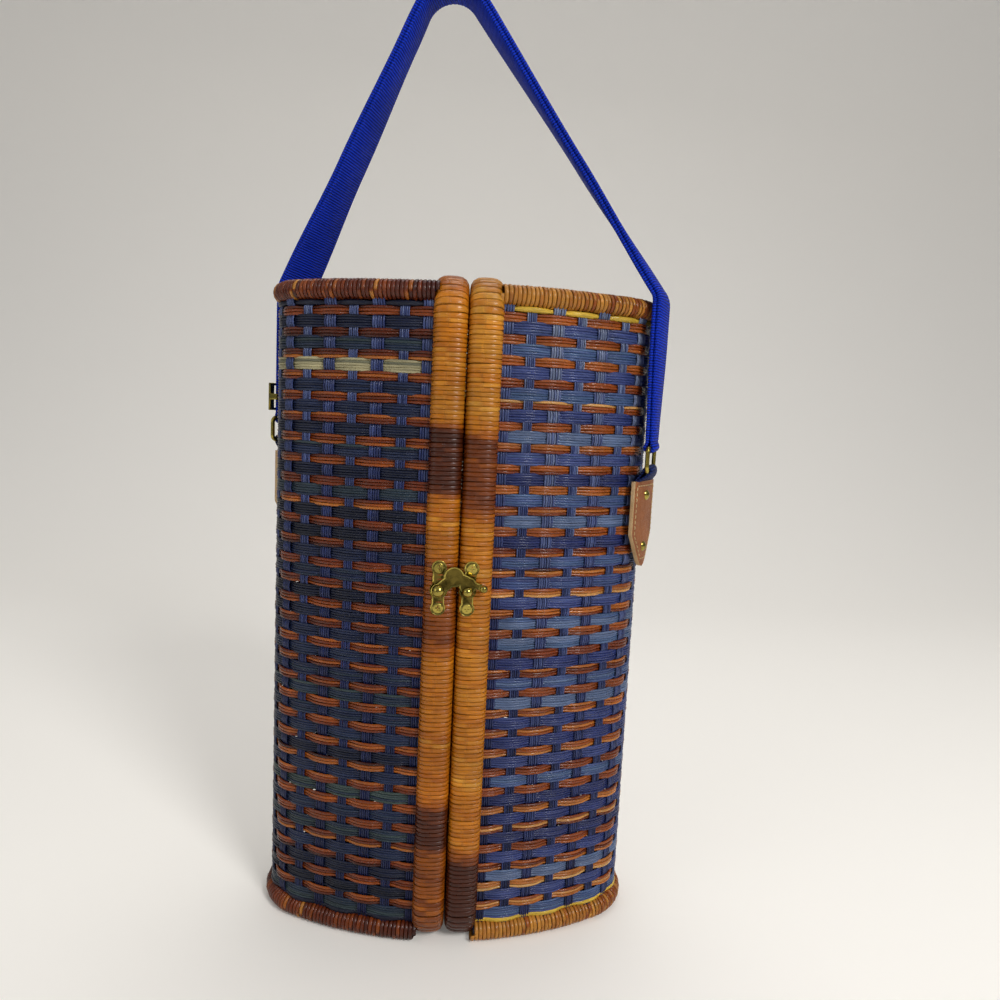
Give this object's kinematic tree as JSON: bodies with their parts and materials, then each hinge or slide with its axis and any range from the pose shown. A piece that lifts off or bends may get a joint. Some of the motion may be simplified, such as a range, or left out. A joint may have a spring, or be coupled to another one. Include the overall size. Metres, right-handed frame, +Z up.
{
  "type": "bottle carrier basket",
  "caption": "Woven clamshell basket that carries two bottles upright, with cane-wrapped rims, brass latch and hinges, leather tabs and a doubled webbing carry strap.",
  "frame": {"origin": "centre of the resting face on the floor, below the middle of the closed basket", "axes": "+Z up, +X to the right seen from the latch side, -Y towards the latch at the front"},
  "size_m": [0.2306, 0.1239, 0.5242],
  "materials": {
    "cane_core": "bare round cane under the binding",
    "stile_wrap": "glossy varnished cane wrap, golden brown with darker bands",
    "rim_wrap": "glossy varnished cane wrap, reddish brown",
    "woven_splint": "varnished blue-grey splints woven with red-brown cane",
    "elastic": "ribbed elastic band",
    "tan_leather": "tan leather with a pale cut edge",
    "navy_webbing": "ribbed webbing",
    "blue_webbing": "ribbed royal blue webbing",
    "antique_brass": "aged brass, darker in the hollows"
  },
  "bodies": {
    "left_shell": {"left_frame_pole": "cane_core", "left_frame_binding": "stile_wrap", "left_top_rim_cane": "cane_core", "left_top_rim_binding": "rim_wrap", "left_bottom_rim_cane": "cane_core", "left_bottom_rim_binding": "rim_wrap", "left_woven_wall": "woven_splint", "left_top_panel": "woven_splint", "left_bottom_panel": "woven_splint", "left_bottle_band": "elastic", "left_band_tacks": "antique_brass", "left_hinge_screws": "antique_brass", "left_leather_tab": "tan_leather", "left_tab_rivets": "antique_brass", "left_ring_loop": "navy_webbing", "upper_hinge_left_leaf": "antique_brass", "lower_hinge_left_leaf": "antique_brass", "latch_plate": "antique_brass", "latch_plate_screws": "antique_brass", "latch_pivot_rivet": "antique_brass"},
    "right_shell": {"right_frame_pole": "cane_core", "right_frame_binding": "stile_wrap", "right_top_rim_cane": "cane_core", "right_top_rim_binding": "rim_wrap", "right_bottom_rim_cane": "cane_core", "right_bottom_rim_binding": "rim_wrap", "right_woven_wall": "woven_splint", "right_top_panel": "woven_splint", "right_bottom_panel": "woven_splint", "right_bottle_band": "elastic", "right_band_tacks": "antique_brass", "right_hinge_screws": "antique_brass", "right_leather_tab": "tan_leather", "right_tab_rivets": "antique_brass", "right_ring_loop": "navy_webbing", "upper_hinge_right_leaf": "antique_brass", "lower_hinge_right_leaf": "antique_brass", "catch_plate": "antique_brass", "catch_plate_screws": "antique_brass", "catch_stud": "antique_brass"},
    "hinge_pins": {"hinge_pins": "antique_brass", "strap_left_leg": "blue_webbing", "strap_right_leg": "blue_webbing"},
    "carry_strap": {"strap_top": "blue_webbing"},
    "left_ring": {"left_ring": "antique_brass", "strap_left_end": "blue_webbing"},
    "right_ring": {"right_ring": "antique_brass", "strap_right_end": "blue_webbing"},
    "strap_slider": {"strap_slider": "antique_brass"},
    "latch_hook": {"latch_hook": "antique_brass"}
  },
  "joints": [
    {"name": "shells_open", "type": "hinge", "parent": "left_shell", "child": "right_shell", "pos_m": [0, 0.0591, 0.18], "axis": [0, 0, 1], "range_deg": [0, 180], "deforming": ["strap_left_leg", "strap_right_leg"]},
    {"name": "pins_turn", "type": "hinge", "parent": "left_shell", "child": "hinge_pins", "pos_m": [0, 0.0591, 0.18], "axis": [0, 0, 1], "range_deg": [0, 90]},
    {"name": "strap_swing", "type": "hinge", "parent": "hinge_pins", "child": "carry_strap", "pos_m": [0, -0.003, 0.43], "axis": [1, 0, 0], "range_deg": [-80, 80]},
    {"name": "left_ring_lean", "type": "hinge", "parent": "left_shell", "child": "left_ring", "pos_m": [-0.10303, 0.0252, 0.2732], "axis": [-0.6428, -0.766, 0], "range_deg": [0, 15]},
    {"name": "right_ring_lean", "type": "hinge", "parent": "right_shell", "child": "right_ring", "pos_m": [0.10588, -0.02135, 0.2672], "axis": [0.3584, 0.9336, 0], "range_deg": [0, 15]},
    {"name": "slider_slide", "type": "slide", "parent": "left_ring", "child": "strap_slider", "axis": [0, 0, 1], "range_m": [0, 0.036]},
    {"name": "hook_swing", "type": "hinge", "parent": "left_shell", "child": "latch_hook", "pos_m": [-0.01, -0.0586, 0.2024], "axis": [0, -1, 0], "range_deg": [0, 95]}
  ],
  "couplings": [
    {"joint": "pins_turn", "follows": "shells_open", "ratio": 0.5}
  ]
}
